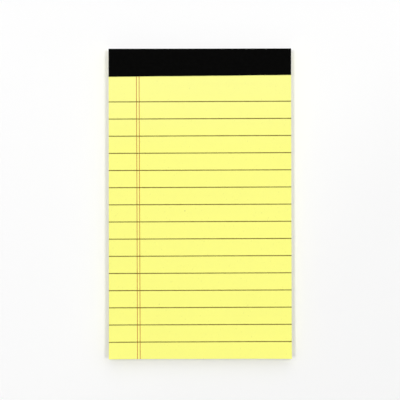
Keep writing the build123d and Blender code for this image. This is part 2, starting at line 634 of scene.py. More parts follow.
class Surface:
    """A material in the making: a Principled surface, and short calls that add nodes to it."""

    def __init__(self, name: str, **settings: float) -> None:
        """Start a material.

        Args:
            name: Name of the material.
            settings: Values that are the same all over, by socket name with _ for spaces.
        """
        self.material = bpy.data.materials.new(name)
        self.material.use_nodes = True
        self.tree = self.material.node_tree
        self.shader = self.tree.nodes["Principled BSDF"]
        self.place = self.tree.nodes.new("ShaderNodeTexCoord").outputs["Object"]
        for socket, value in settings.items():
            self.set(socket.replace("_", " "), value)

    def feed(self, socket: bpy.types.NodeSocket, value: Feed) -> None:
        """Link a socket to another node's output, or give it a plain value.

        Args:
            socket: The socket that is fed.
            value: An output to link to it, or the number, vector or colour to set.
        """
        if isinstance(value, bpy.types.NodeSocket):
            self.tree.links.new(value, socket)
        elif isinstance(value, tuple) and socket.type == "RGBA":
            socket.default_value = (*value, 1.0)
        else:
            socket.default_value = value

    def set(self, name: str, value: Feed) -> None:
        """Feed one socket of the surface itself."""
        self.feed(self.shader.inputs[name], value)

    def node(self, kind: str, feeds: dict[str | int, Feed], **settings: object) -> bpy.types.Node:
        """Add a node.

        Args:
            kind: Blender's name for the node's type, without its ShaderNode start.
            feeds: What goes into its sockets.
            settings: Its options.

        Returns:
            The node.
        """
        made = self.tree.nodes.new("ShaderNode" + kind)
        for name, value in settings.items():
            setattr(made, name, value)
        for socket, value in feeds.items():
            self.feed(made.inputs[socket], value)
        return made

    def math(self, operation: str, *numbers: Feed) -> bpy.types.NodeSocket:
        """The result of a sum on one, two or three numbers."""
        return self.node("Math", dict(enumerate(numbers)), operation=operation).outputs[0]

    def product(self, first: Feed, *others: Feed) -> Feed:
        """Multiply numbers.

        Args:
            first: The first number.
            others: The other ones.

        Returns:
            Their product.
        """
        result = first
        for other in others:
            result = self.math("MULTIPLY", result, other)
        return result

    def axis(self, axis: Axis) -> bpy.types.NodeSocket:
        """The place on the piece along one direction of the frame."""
        return self.node("SeparateXYZ", {0: self.place}).outputs[axis.value]

    def facing(self, axis: Axis) -> bpy.types.NodeSocket:
        """How squarely the surface faces along one direction, either way."""
        normal = self.node("NewGeometry", {}).outputs["True Normal"]
        return self.math("ABSOLUTE", self.node("SeparateXYZ", {0: normal}).outputs[axis.value])

    def grain(self, grain: Grain) -> bpy.types.NodeSocket:
        """Add cloudy noise.

        Args:
            grain: Its size and shape.

        Returns:
            A number about 0.5, from 0 to 1.
        """
        scale = tuple(1 / (grain.size * share) for share in grain.stretch)
        spread = self.node("Mapping", {"Vector": self.place, "Scale": scale}).outputs[0]
        feeds = {"Vector": spread, "Scale": 1.0, "Detail": grain.detail, "Roughness": grain.crispness}
        return self.node("TexNoise", feeds).outputs[0]

    def ramp(self, number: Feed, ramp: Ramp) -> bpy.types.NodeSocket:
        """Read a ramp.

        Args:
            number: The number at which it is read.
            ramp: The ramp.

        Returns:
            Its value there.
        """
        feeds = {"Value": number, "From Min": ramp.low, "From Max": ramp.high}
        feeds |= {"To Min": ramp.start, "To Max": ramp.end}
        return self.node("MapRange", feeds, interpolation_type="SMOOTHSTEP").outputs[0]

    def mottle(self, grain: Grain, ramp: Ramp = Ramp()) -> bpy.types.NodeSocket:
        """Cloudy noise, read through a ramp."""
        return self.ramp(self.grain(grain), ramp)

    def blend(self, share: Feed, first: Feed, second: Feed) -> bpy.types.NodeSocket:
        """A colour between two others."""
        # The node has sockets of the same names for other kinds of data before those for colours
        return self.node("Mix", {0: share, 6: first, 7: second}, data_type="RGBA").outputs[2]

    def shade(self, colour: Feed, amount: Feed) -> bpy.types.NodeSocket:
        """A colour made lighter or darker by a factor."""
        return self.node("VectorMath", {0: colour, "Scale": amount}, operation="SCALE").outputs[0]

    def distance(self, point: Vector) -> bpy.types.NodeSocket:
        """How far a place on the piece is from a point."""
        feeds = {0: self.place, 1: tuple(point)}
        return self.node("VectorMath", feeds, operation="DISTANCE").outputs["Value"]

    def fade_out(self, share: bpy.types.NodeSocket) -> None:
        """Let what is behind the surface show through it.

        Args:
            share: How much of that shows.
        """
        clear = self.node("BsdfTransparent", {}).outputs[0]
        both = self.node("MixShader", {0: share, 1: self.shader.outputs[0], 2: clear})
        self.feed(self.tree.nodes["Material Output"].inputs["Surface"], both.outputs[0])

    def relief(self, *layers: tuple[bpy.types.NodeSocket, float]) -> None:
        """Give the surface fine relief.

        Args:
            layers: Pairs of a height from 0 to 1 and the depth that it stands for.
        """
        under = None
        for height, depth in layers:
            feeds = {"Height": height, "Distance": depth}
            if under is not None:
                feeds["Normal"] = under
            under = self.node("Bump", feeds).outputs[0]
        self.set("Normal", under)


@dataclass(frozen=True)
class PaperFinish:
    """Uncoated yellow writing paper, with painted light just under the tape.

    Attributes:
        painted_light_head_tint: Its colour just below the tape, paler there as painted light.
        body_tint: Its colour from there on.
        foot_tint: Its colour at the free edge, a little deeper.
        painted_light_reach: How far below the tape the painted light fades out.
        clouds: The cloudy look of the sheet.
        cloud_tone: Tones of those clouds.
        drift: Slow changes of tone over the page.
        drift_tone: Tones of that drift.
        flecks: Small darker flecks in the pulp.
        fleck_tone: Tones of those flecks.
        speck_tint: Colour of a speck of dirt.
        speck_core: Share of a speck's radius within which it is darkest.
        cockle: Slow unevenness of the sheet.
        cockle_depth: Depth of that.
        roughness: Roughness over that unevenness.
        fibres: Fine fibres.
        fibre_depth: Depth of those.
        specular: Strength of its faint shine.
    """

    painted_light_head_tint: Colour = from_screen(254.3, 253.6, 146.5)
    body_tint: Colour = from_screen(254.3, 253.6, 134.5)
    foot_tint: Colour = from_screen(254.6, 254, 132)
    painted_light_reach: float = 36 * MM
    clouds: Grain = Grain(2.2 * MM, 3.0)
    cloud_tone: Ramp = Ramp(0.25, 0.75, 0.992, 1.003)
    drift: Grain = Grain(24 * MM)
    drift_tone: Ramp = Ramp(start=0.995, end=1.003)
    flecks: Grain = Grain(0.5 * MM, 1.0, (1.0, 2.2, 1.0))
    fleck_tone: Ramp = Ramp(0.71, 0.76, 1.0, 0.9)
    speck_tint: Colour = from_screen(150, 146, 84)
    speck_core: float = 0.3
    cockle: Grain = Grain(2.2 * MM)
    cockle_depth: float = 0.012 * MM
    roughness: Ramp = Ramp(start=0.78, end=0.9)
    fibres: Grain = Grain(0.16 * MM, 4.0, (1.0, 1.7, 1.0))
    fibre_depth: float = 0.01 * MM
    specular: float = 0.25

    def tint_with_painted_light(self, surface: Surface, pad: PadMeasures) -> bpy.types.NodeSocket:
        """The paper's colour over a piece, with painted light that makes it paler just under the tape.

        Args:
            surface: The material in the making.
            pad: The pad's measures.

        Returns:
            The colour.
        """
        along = surface.axis(Axis.ALONG)
        # Painted light: the paper is paler just under the tape, and fades to its body colour below
        painted_light_end = pad.flap_left - self.painted_light_reach
        to_foot = surface.ramp(along, Ramp(painted_light_end, pad.free_edge))
        painted_light_fade = surface.ramp(along, Ramp(pad.flap_left, painted_light_end))
        colour = surface.blend(to_foot, self.body_tint, self.foot_tint)
        colour = surface.blend(painted_light_fade, self.painted_light_head_tint, colour)
        tone = surface.product(
            surface.mottle(self.clouds, self.cloud_tone),
            surface.mottle(self.drift, self.drift_tone),
            surface.mottle(self.flecks, self.fleck_tone),
        )
        return surface.shade(colour, tone)

    def material(self, pad: PadMeasures, specks: list[tuple[Vector, float]]) -> bpy.types.Material:
        """Material of the top leaf.

        Args:
            pad: The pad's measures.
            specks: Places and sizes of the specks of dirt on the leaf.

        Returns:
            The material.
        """
        surface = Surface("writing_paper", Specular_IOR_Level=self.specular)
        colour = self.tint_with_painted_light(surface, pad)
        for point, radius in specks:
            fade = Ramp(self.speck_core * radius, radius, 1.0, 0.0)
            dirt = surface.ramp(surface.distance(point), fade)
            colour = surface.blend(dirt, colour, self.speck_tint)
        cockle = surface.grain(self.cockle)
        surface.set("Base Color", colour)
        surface.set("Roughness", surface.ramp(cockle, self.roughness))
        surface.relief((cockle, self.cockle_depth), (surface.grain(self.fibres), self.fibre_depth))
        return surface.material


@dataclass(frozen=True)
class InkFinish:
    """Printing ink that has sunk into the paper.

    Attributes:
        name: Name of the material.
        tint: Colour of the ink on this paper.
        slot: The finish in the record.
        patches: Small uneven patches of the print.
        patch_tone: Tones of those patches.
        runs: Slow changes of tone along a line.
        run_tone: Tones of those.
        roughness: Roughness over the patches.
        fibres: Fibres of the paper under the ink.
        fibre_depth: Depth of those.
        specular: Strength of its faint shine.
    """

    name: str
    tint: Colour
    slot: Slot
    patches: Grain = Grain(0.45 * MM, 3.0)
    patch_tone: Ramp = Ramp(0.3, 0.8, 0.92, 1.15)
    runs: Grain = Grain(19 * MM, 1.0)
    run_tone: Ramp = Ramp(start=0.97, end=1.03)
    roughness: Ramp = Ramp(start=0.7, end=0.85)
    fibres: Grain = Grain(0.16 * MM, 4.0)
    fibre_depth: float = 0.01 * MM
    specular: float = 0.25

    @classmethod
    def rule(cls) -> "InkFinish":
        """The dark ink of the rules."""
        return cls("dark_rule_ink", (0.13, 0.085, 0.006), Slot.RULE_INK)

    @classmethod
    def margin(cls) -> "InkFinish":
        """The red ink of the margin lines."""
        return cls("red_margin_ink", (0.5, 0.1, 0.01), Slot.MARGIN_INK)

    def material(self) -> bpy.types.Material:
        """Material of printed lines in this ink.

        Returns:
            The material.
        """
        surface = Surface(self.name, Specular_IOR_Level=self.specular)
        patches = surface.grain(self.patches)
        spots = surface.ramp(patches, self.patch_tone)
        tone = surface.product(spots, surface.mottle(self.runs, self.run_tone))
        surface.set("Base Color", surface.shade(self.tint, tone))
        surface.set("Roughness", surface.ramp(patches, self.roughness))
        surface.relief((surface.grain(self.fibres), self.fibre_depth))
        return surface.material


@dataclass(frozen=True)
class CutEdgeFinish:
    """The leaves' cut edges: paper with the tones of single leaves, painted shade and the ends of the
    lines.

    Attributes:
        paper: The paper itself.
        rule_ink: Ink of the rules.
        margin_ink: Ink of the margin lines.
        leaf_tone_and_painted_shade: Tones of the single leaves, at random, and all darker than the face:
            painted shade on the stack's sides.
        streaks: Upright streaks that the knife left.
        streak_tone: Tones of those.
        streak_depth: Depth of those.
        bundles: Bundles of leaves whose edges look alike.
        bundle_tone: Tones of those.
        worn: Uneven ink at the ends of the lines.
        worn_share: How much of the ink shows there.
        line_core: Share of a line's width within which its end is darkest.
        line_spread: Share of that width at which its end has faded out.
        sideways: How squarely a face looks sideways to show the ends of lines.
        roughness: Roughness over the streaks.
        fibres: Fine torn fibres.
        fibre_depth: Depth of those.
        specular: Strength of its faint shine.
    """

    paper: PaperFinish = PaperFinish()
    rule_ink: InkFinish = InkFinish.rule()
    margin_ink: InkFinish = InkFinish.margin()
    leaf_tone_and_painted_shade: Ramp = Ramp(0.0, 1.0, 0.76, 0.9)
    streaks: Grain = Grain(0.35 * MM, 2.0, (1.0, 1.0, 14.0))
    streak_tone: Ramp = Ramp(start=0.94, end=1.0)
    streak_depth: float = 0.02 * MM
    bundles: Grain = Grain(0.7 * MM, 2.0, (70.0, 70.0, 1.0))
    bundle_tone: Ramp = Ramp(0.35, 0.65, 0.86, 1.0)
    worn: Grain = Grain(0.3 * MM)
    worn_share: Ramp = Ramp(0.35, 0.65, 0.1, 0.5)
    line_core: float = 0.3
    line_spread: float = 1.2
    sideways: float = 0.7
    roughness: Ramp = Ramp(start=0.85, end=0.95)
    fibres: Grain = Grain(0.16 * MM, 3.0)
    fibre_depth: float = 0.015 * MM
    specular: float = 0.2

    def material(self, pad: PadMeasures, layout: PrintLayout, leaf_pitch: float) -> bpy.types.Material:
        """Material of the stack of leaves.

        Args:
            pad: The pad's measures.
            layout: Where the print lies.
            leaf_pitch: Thickness of one leaf.

        Returns:
            The material.
        """
        surface = Surface("cut_leaf_edges", Specular_IOR_Level=self.specular)
        leaf = surface.math("FLOOR", surface.math("DIVIDE", surface.axis(Axis.UP), leaf_pitch))
        chance = surface.node("TexWhiteNoise", {"W": leaf}, noise_dimensions="1D").outputs["Value"]
        streaks = surface.grain(self.streaks)
        # Each leaf's tone differs at random, and all are darker than the face's paper: painted shade on
        # the stack's sides
        tone = surface.product(
            surface.ramp(chance, self.leaf_tone_and_painted_shade),
            surface.ramp(streaks, self.streak_tone),
            surface.mottle(self.bundles, self.bundle_tone),
        )
        # The paper's colour here carries its painted light under the tape too
        colour = surface.shade(self.paper.tint_with_painted_light(surface, pad), tone)
        colour = self.with_rule_ends(surface, layout, colour)
        colour = self.with_margin_ends(surface, layout, colour)
        surface.set("Base Color", colour)
        surface.set("Roughness", surface.ramp(streaks, self.roughness))
        surface.relief((streaks, self.streak_depth), (surface.grain(self.fibres), self.fibre_depth))
        return surface.material

    def line_end(
        self, surface: Surface, off_line: Feed, width: float, facing: Axis
    ) -> bpy.types.NodeSocket:
        """How much ink shows on a cut edge beside the end of a line.

        Args:
            surface: The material in the making.
            off_line: Distance from the middle of the line.
            width: Width of the line.
            facing: The direction that the cut edge looks in.

        Returns:
            The share of ink.
        """
        fade = Ramp(self.line_core * width, self.line_spread * width, 1.0, 0.0)
        on_edge = surface.math("GREATER_THAN", surface.facing(facing), self.sideways)
        worn = surface.mottle(self.worn, self.worn_share)
        return surface.product(surface.ramp(off_line, fade), worn, on_edge)

    def with_rule_ends(
        self, surface: Surface, layout: PrintLayout, colour: bpy.types.NodeSocket
    ) -> bpy.types.NodeSocket:
        """Add the faint columns on the side edges where the rules run off the leaves.

        Args:
            surface: The material in the making.
            layout: Where the print lies.
            colour: The colour under them.

        Returns:
            The colour with them.
        """
        first, last = sorted((layout.rules[0][0], layout.rules[-1][0]))
        along = surface.axis(Axis.ALONG)
        off_first = surface.math("SUBTRACT", along, first)
        off_rule = surface.math("PINGPONG", off_first, abs(layout.pitch) / 2)
        half_field = (last - first) / 2 + layout.rule_width
        in_field = surface.math("COMPARE", along, (first + last) / 2, half_field)
        ink = self.line_end(surface, off_rule, layout.rule_width, Axis.ACROSS)
        return surface.blend(surface.product(ink, in_field), colour, self.rule_ink.tint)

    def with_margin_ends(
        self, surface: Surface, layout: PrintLayout, colour: bpy.types.NodeSocket
    ) -> bpy.types.NodeSocket:
        """Add the faint columns on the free edge where the margin lines run off the leaves.

        Args:
            surface: The material in the making.
            layout: Where the print lies.
            colour: The colour under them.

        Returns:
            The colour with them.
        """
        across = surface.axis(Axis.ACROSS)
        for place in layout.margins:
            off_line = surface.math("ABSOLUTE", surface.math("SUBTRACT", across, place))
            ink = self.line_end(surface, off_line, layout.margin_width, Axis.ALONG)
            colour = surface.blend(ink, colour, self.margin_ink.tint)
        return colour


@dataclass(frozen=True)
class TapeFinish:
    """Matte black binding paper with a fine pressed grain.

    Attributes:
        tint: Its colour.
        worn_tint: Its colour where the folds are rubbed.
        wear_start: How far from a fold's outside the rubbing starts.
        wear_full: How far below or above the tape's faces it is strongest.
        rubbing: Patches of the rubbing.
        rubbing_share: How much of the worn colour shows in those.
        fibres: Paler fibres all over.
        fibre_share: How much of the worn colour shows in those.
        gloss: Patches of more and less gloss.
        roughness: Roughness over those.
        pebble_size: Size of the pressed grain.
        pebble_depth: Depth of that.
        nap: Finest unevenness.
        nap_depth: Depth of that.
        specular: Strength of its faint shine.
        sheen: Strength of the sheen of its nap at low angles.
        sheen_spread: How far that sheen spreads.
    """

    tint: Colour = (0.0008, 0.0008, 0.0007)
    worn_tint: Colour = (0.04, 0.039, 0.037)
    wear_start: float = 0.5 * MM
    wear_full: float = 0.1 * MM
    rubbing: Grain = Grain(0.6 * MM, 4.0, (2.5, 1.0, 1.0))
    rubbing_share: Ramp = Ramp(0.5, 0.68, 0.0, 0.55)
    fibres: Grain = Grain(0.14 * MM, 3.0, (3.0, 1.0, 1.0))
    fibre_share: Ramp = Ramp(0.62, 0.75, 0.0, 0.08)
    gloss: Grain = Grain(1.4 * MM, 3.0)
    roughness: Ramp = Ramp(start=0.52, end=0.66)
    pebble_size: float = 0.28 * MM
    pebble_depth: float = 0.03 * MM
    nap: Grain = Grain(0.11 * MM, 3.0)
    nap_depth: float = 0.01 * MM
    specular: float = 0.012
    sheen: float = 0.6
    sheen_spread: float = 0.25

    def material(self, pad: PadMeasures) -> bpy.types.Material:
        """Material of the tape.

        Args:
            pad: The pad's measures.

        Returns:
            The material.
        """
        surface = Surface(
            "black_binding_paper",
            Specular_IOR_Level=self.specular,
            Sheen_Weight=self.sheen,
            Sheen_Roughness=self.sheen_spread,
        )
        fibres = surface.mottle(self.fibres, self.fibre_share)
        share = surface.math("MAXIMUM", self.fold_wear(surface, pad), fibres)
        pebbles = surface.node(
            "TexVoronoi", {"Vector": surface.place, "Scale": 1 / self.pebble_size}, feature="SMOOTH_F1"
        )
        surface.set("Base Color", surface.blend(share, self.tint, self.worn_tint))
        surface.set("Roughness", surface.mottle(self.gloss, self.roughness))
        surface.relief(
            (pebbles.outputs["Distance"], self.pebble_depth),
            (surface.grain(self.nap), self.nap_depth),
        )
        return surface.material

    def fold_wear(self, surface: Surface, pad: PadMeasures) -> bpy.types.NodeSocket:
        """How much the tape is rubbed along its two folds.

        Args:
            surface: The material in the making.
            pad: The pad's measures.

        Returns:
            The share of the worn colour.
        """
        start, full = self.wear_start, self.wear_full
        up = surface.axis(Axis.UP)
        at_spine = surface.ramp(surface.axis(Axis.ALONG), Ramp(pad.spine_face - start, pad.spine_face))
        at_top = surface.ramp(up, Ramp(pad.tape_top - start, pad.tape_top - full))
        at_bottom = surface.ramp(up, Ramp(pad.tape_bottom + start, pad.tape_bottom + full))
        rubbed = surface.mottle(self.rubbing, self.rubbing_share)
        return surface.product(at_spine, surface.math("MAXIMUM", at_top, at_bottom), rubbed)


@dataclass(frozen=True)
class ChipboardFinish:
    """Grey-brown chipboard with flecks of recycled fibre.

    Attributes:
        tint: Its main colour.
        pale_tint: Colour of its pale clouds.
        clouds: Those clouds.
        light_tint: Colour of its light flecks.
        light_flecks: Those flecks.
        light_share: How much of their colour shows.
        dark_tint: Colour of its dark flecks.
        dark_flecks: Those flecks.
        dark_share: How much of their colour shows.
        plies: Its layers, which show on the cut edge.
        ply_tone: Tones of those.
        ply_depth: Depth of those.
        roughness: Roughness over the layers.
        pulp: Unevenness of the pulp.
        pulp_depth: Depth of that.
        specular: Strength of its faint shine.
    """

    tint: Colour = from_screen(150, 138, 119)
    pale_tint: Colour = from_screen(170, 158, 139)
    clouds: Grain = Grain(3.1 * MM, 4.0)
    light_tint: Colour = from_screen(198, 188, 170)
    light_flecks: Grain = Grain(0.5 * MM, 2.0, (2.8, 1.0, 0.5))
    light_share: Ramp = Ramp(0.64, 0.74, 0.0, 0.7)
    dark_tint: Colour = from_screen(92, 82, 70)
    dark_flecks: Grain = Grain(0.42 * MM, 2.0, (1.0, 2.6, 0.5))
    dark_share: Ramp = Ramp(0.64, 0.72, 0.0, 0.75)
    plies: Grain = Grain(0.16 * MM, 2.0, (9.0, 9.0, 1.0))
    ply_tone: Ramp = Ramp(start=0.88, end=1.04)
    ply_depth: float = 0.02 * MM
    roughness: Ramp = Ramp(start=0.82, end=0.95)
    pulp: Grain = Grain(0.3 * MM, 4.0)
    pulp_depth: float = 0.03 * MM
    specular: float = 0.2

    def material(self) -> bpy.types.Material:
        """Material of the board.

        Returns:
            The material.
        """
        surface = Surface("flecked_chipboard", Specular_IOR_Level=self.specular)
        light = surface.mottle(self.light_flecks, self.light_share)
        dark = surface.mottle(self.dark_flecks, self.dark_share)
        plies = surface.grain(self.plies)
        colour = surface.blend(surface.mottle(self.clouds), self.tint, self.pale_tint)
        colour = surface.blend(light, colour, self.light_tint)
        colour = surface.blend(dark, colour, self.dark_tint)
        surface.set("Base Color", surface.shade(colour, surface.ramp(plies, self.ply_tone)))
        surface.set("Roughness", surface.ramp(plies, self.roughness))
        surface.relief((surface.grain(self.pulp), self.pulp_depth), (plies, self.ply_depth))
        return surface.material


@dataclass(frozen=True)
class WireFinish:
    """Drawn and flattened steel wire.

    Attributes:
        tint: Colour of the steel.
        dull_tint: Colour of its duller stretches.
        drawn: Fine lines along the wire.
        drawn_depth: Depth of those.
        roughness: Roughness over them.
        metallic: Share of metal.
    """

    tint: Colour = (0.62, 0.62, 0.63)
    dull_tint: Colour = (0.45, 0.45, 0.46)
    drawn: Grain = Grain(0.06 * MM, 2.0, (40.0, 1.0, 40.0))
    drawn_depth: float = 0.004 * MM
    roughness: Ramp = Ramp(start=0.28, end=0.42)
    metallic: float = 1.0

    def material(self) -> bpy.types.Material:
        """Material of the staples.

        Returns:
            The material.
        """
        surface = Surface("staple_steel", Metallic=self.metallic)
        drawn = surface.grain(self.drawn)
        surface.set("Base Color", surface.blend(surface.ramp(drawn, Ramp()), self.tint, self.dull_tint))
        surface.set("Roughness", surface.ramp(drawn, self.roughness))
        surface.relief((drawn, self.drawn_depth))
        return surface.material


@dataclass(frozen=True)
class PhotoView:
    """The photograph's view: straight down on the pad. Its pixels count from the upper left.

    Attributes:
        side: Width and height of the picture, in pixels.
        page_pixels: Width of the page in the picture.
        centre: Pixel of the pad's middle.
        upper_speck: Pixel of the upper speck of dirt on the page.
        lower_speck: Pixel of the lower one.
        height: Height of the camera over the floor.
        roll: How far the pad is turned to the left in the picture, in degrees.
        sensor: Width of the camera's sensor, in millimetres.
    """

    side: float = 400.0
    page_pixels: float = 182.55
    centre: Pixel = (200.1, 203.6)
    upper_speck: Pixel = (184.9, 210.9)
    lower_speck: Pixel = (159.0, 304.0)
    height: float = 0.40
    roll: float = 0.115
    sensor: float = 36.0

    def pixel_size(self, pad: PadMeasures) -> float:
        """Size of one pixel at the top leaf."""
        return pad.width / self.page_pixels

    def page_point(self, pad: PadMeasures, pixel: Pixel) -> Vector:
        """The place on the page that a pixel of the photograph shows."""
        size = self.pixel_size(pad)
        return Vector(((pixel[0] - self.centre[0]) * size, (self.centre[1] - pixel[1]) * size))

    def build(self, pad: PadMeasures) -> bpy.types.Object:
        """Make the camera.

        Args:
            pad: The pad's measures.

        Returns:
            The camera.
        """
        data = bpy.data.cameras.new("photo_view")
        data.sensor_width = self.sensor
        reach = self.height - pad.page_top
        data.lens = self.sensor * reach / (self.side * self.pixel_size(pad))
        camera = bpy.data.objects.new("photo_view", data)
        aim = self.page_point(pad, (self.side / 2, self.side / 2))
        camera.location = (aim.x, aim.y, self.height)
        camera.rotation_euler = Euler((0.0, 0.0, -math.radians(self.roll)))
        bpy.context.scene.collection.objects.link(camera)
        bpy.context.scene.camera = camera
        return camera


@dataclass
class Backing:
    """The board behind the leaves and the staples through both, as their solids are.

    Attributes:
        board: Finish of the board.
        wire: Finish of the staples.
    """

    board: ChipboardFinish = ChipboardFinish()
    wire: WireFinish = WireFinish()

    def build(self) -> list[bpy.types.Object]:
        """Dress the board and the staples.

        Returns:
            The pieces.
        """
        dressed = []
        for node, finish in ((Node.BOARD, self.board), (Node.STAPLES, self.wire)):
            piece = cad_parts[node.value]
            material = finish.material()
            piece.data.materials.clear()
            piece.data.materials.append(material)
            LOG.info("%s: dressed in %s", piece.name, material.name)
            dressed.append(piece)
        return dressed


@dataclass
class LeafBlock:
    """The leaves: a stack with every leaf's edge, and the top leaf over it.

    Attributes:
        pad: The pad's measures.
        layout: Where the print lies.
        staples: Where the staples go through.
        lie: How the leaves lie.
        view: The photograph's view, which shows the specks of dirt.
        paper: Finish of the top leaf.
        edges: Finish of the stack.
        leaf_count: How many leaves there are, the top one included.
        leaf_solid: Share of a leaf's pitch that is paper, the rest being the gap above it.
        gap_depth: Depth of the gaps between the leaves' edges.
        cut_spread: How far a leaf's free corners stray from the cut line.
        corner_share: Share of that by which its two free corners stray apart.
        spine_gap: Room between the leaves and the tape's spine.
        columns: Faces across a leaf.
        rows: Faces along a leaf.
        upper_speck_radius: Size of the upper speck of dirt.
        lower_speck_radius: Size of the lower one.
        map_shares: How the stack's map is shared out among its sides, lower and upper face.
        seed: Start of the random strays.
    """

    pad: PadMeasures
    layout: PrintLayout
    staples: StapleLayout
    lie: LeafLie
    view: PhotoView
    paper: PaperFinish = PaperFinish()
    edges: CutEdgeFinish = CutEdgeFinish()
    leaf_count: int = 50
    leaf_solid: float = 0.8
    gap_depth: float = 0.22 * MM
    cut_spread: float = 0.045 * MM
    corner_share: float = 1 / 3
    spine_gap: float = 0.02 * MM
    columns: int = 38
    rows: int = 64
    upper_speck_radius: float = 0.24 * MM
    lower_speck_radius: float = 0.17 * MM
    map_shares: Triple = (10, 1, 1)
    seed: int = 7

    @property
    def leaf_pitch(self) -> float:
        """Thickness of one leaf with its share of the gaps."""
        return self.pad.block_height / self.leaf_count

    @property
    def leaf_thickness(self) -> float:
        """Thickness of the paper alone."""
        return self.leaf_solid * self.leaf_pitch

    def build(self) -> list[bpy.types.Object]:
        """Make the stack and the top leaf.

        Returns:
            The pieces.
        """
        holes = self.staples.holes(self.pad)
        pieces = [self.build_stack(holes), self.build_top_leaf(holes)]
        bpy.data.meshes.remove(holes)
        return pieces

    def bound_end(self, top: float) -> float:
        """Find where a leaf ends under the tape, which folds over the uppermost ones.

        Args:
            top: Share of the block's height at which the leaf's upper face lies.

        Returns:
            The place of its bound end along the page.
        """
        radius = self.pad.fold_radius
        into_fold = max(radius - (1 - top) * self.pad.block_height, 0.0)
        drawn_back = radius - math.sqrt(radius**2 - into_fold**2)
        return self.pad.bound_edge - max(drawn_back, self.spine_gap)

    def leaf_corners(self, top: float) -> list[Vector]:
        """The corners of a leaf as it should be cut.

        Args:
            top: Share of the block's height at which the leaf's upper face lies.

        Returns:
            Its free left, free right, bound left and bound right corner.
        """
        pad = self.pad
        places = [(x, y) for y in (pad.free_edge, self.bound_end(top)) for x in (pad.left, pad.right)]
        return [Vector(place) for place in places]

    def strayed_corners(self, top: float, dice: random.Random) -> list[Vector]:
        """The corners of one leaf of the stack, a little off the cut line at its free end.

        Args:
            top: Share of the block's height at which the leaf's upper face lies.
            dice: Source of the strays.

        Returns:
            The corners, in the order of leaf_corners.
        """
        corners = self.leaf_corners(top)
        slide = dice.gauss(0, self.cut_spread)
        for corner in corners[:2]:
            corner.x += slide + dice.gauss(0, self.cut_spread) * self.corner_share
            corner.y += abs(dice.gauss(0, self.cut_spread))
        return corners

    def leaf_point(
        self, corners: list[Vector], shares: tuple[float, float], level: float, rise: float
    ) -> Vector:
        """A point of a leaf.

        Args:
            corners: The leaf's corners.
            shares: How far across and along the leaf the point is, from 0 to 1.
            level: Share of the block's height at which the leaf lies.
            rise: How far above that level the point is.

        Returns:
            The point.
        """
        across, along = shares
        foot = corners[0].lerp(corners[1], across)
        head = corners[2].lerp(corners[3], across)
        plan = foot.lerp(head, along)
        return Vector((*plan, self.lie.height(*plan, level) + rise))

    def outline(self) -> list[tuple[float, float]]:
        """The way once round a leaf's edge.

        Returns:
            Shares across and along the leaf, with the first ones again at the end.
        """
        across, along = even_shares(self.columns), even_shares(self.rows)
        foot = [(share, 0.0) for share in across]
        right = [(1.0, share) for share in along[1:]]
        head = [(share, 1.0) for share in reversed(across[:-1])]
        left = [(0.0, share) for share in reversed(along[:-1])]
        return foot + right + head + left

    def edge_ring(self, corners: list[Vector], level: float, rise: float, inset: float) -> list[Vector]:
        """One ring of points round the stack.

        Args:
            corners: The leaf's corners.
            level: Share of the block's height at which the leaf lies.
            rise: How far above that level the ring is.
            inset: How far in from the leaf's edge it is.

        Returns:
            The ring.
        """
        in_across, in_along = inset / self.pad.width, inset / self.pad.length
        ring = []
        for across, along in self.outline():
            shares = (mix(in_across, 1 - in_across, across), mix(in_along, 1 - in_along, along))
            ring.append(self.leaf_point(corners, shares, level, rise))
        return ring

    def face_grid(self, corners: list[Vector], level: float, rise: float) -> Grid:
        """A leaf's whole upper or lower face.

        Args:
            corners: The leaf's corners.
            level: Share of the block's height at which the leaf lies.
            rise: How far above that level the face is.

        Returns:
            Rows of points, from the free edge up.
        """
        across = even_shares(self.columns)
        rows = []
        for along in even_shares(self.rows):
            rows.append([self.leaf_point(corners, (share, along), level, rise) for share in across])
        return rows

    def build_stack(self, holes: bpy.types.Mesh) -> bpy.types.Object:
        """Make all the leaves under the top one, as one block with its leaves' edges and gaps.

        Args:
            holes: The form of the staples' holes.

        Returns:
            The piece.
        """
        dice = random.Random(self.seed)
        draft = MeshDraft("leaf_stack")
        thick = self.leaf_thickness
        levels = even_shares(self.leaf_count)[:-2]
        leaves = [self.strayed_corners(level + thick / self.pad.block_height, dice) for level in levels]
        rings = []
        for corners, level in zip(leaves, levels):
            if rings:
                rings.append(self.edge_ring(corners, level, 0.0, self.gap_depth))
            rings.append(self.edge_ring(corners, level, 0.0, 0.0))
            rings.append(self.edge_ring(corners, level, thick, 0.0))
        sides, under, over = MapArea().bands(*self.map_shares)
        draft.add_patch(rings, sides)
        draft.add_patch(self.face_grid(leaves[0], levels[0], 0.0), under)
        draft.add_patch(self.face_grid(leaves[-1], levels[-1], thick), over)
        material = self.edges.material(self.pad, self.layout, self.leaf_pitch)
        return draft.finish(material, Slot.PAPER, Node.PAGES, holes)

    def build_top_leaf(self, holes: bpy.types.Mesh) -> bpy.types.Object:
        """Make the top leaf, the one that is printed and written on.

        Args:
            holes: The form of the staples' holes.

        Returns:
            The piece.
        """
        draft = MeshDraft("top_leaf")
        corners = self.leaf_corners(1.0)
        upper = self.face_grid(corners, 1.0, 0.0)
        lower = self.face_grid(corners, 1.0, -self.leaf_thickness)
        draft.add_slab(upper, lower, MapArea())
        material = self.paper.material(self.pad, self.specks())
        return draft.finish(material, Slot.PAPER, Node.PAGES, holes)

    def specks(self) -> list[tuple[Vector, float]]:
        """Find the two specks of dirt on the top leaf.

        Returns:
            The place and size of each.
        """
        view = self.view
        radii = {
            view.upper_speck: self.upper_speck_radius,
            view.lower_speck: self.lower_speck_radius,
        }
        found = []
        for pixel, radius in radii.items():
            plan = view.page_point(self.pad, pixel)
            found.append((Vector((*plan, self.lie.height(*plan, 1.0))), radius))
        return found


@dataclass(frozen=True)
class LineStyle:
    """How a kind of printed line is made.

    Attributes:
        ink: Its ink.
        film: How far it stands on the leaf.
        steps: Faces along it.
    """

    ink: InkFinish
    film: float
    steps: int


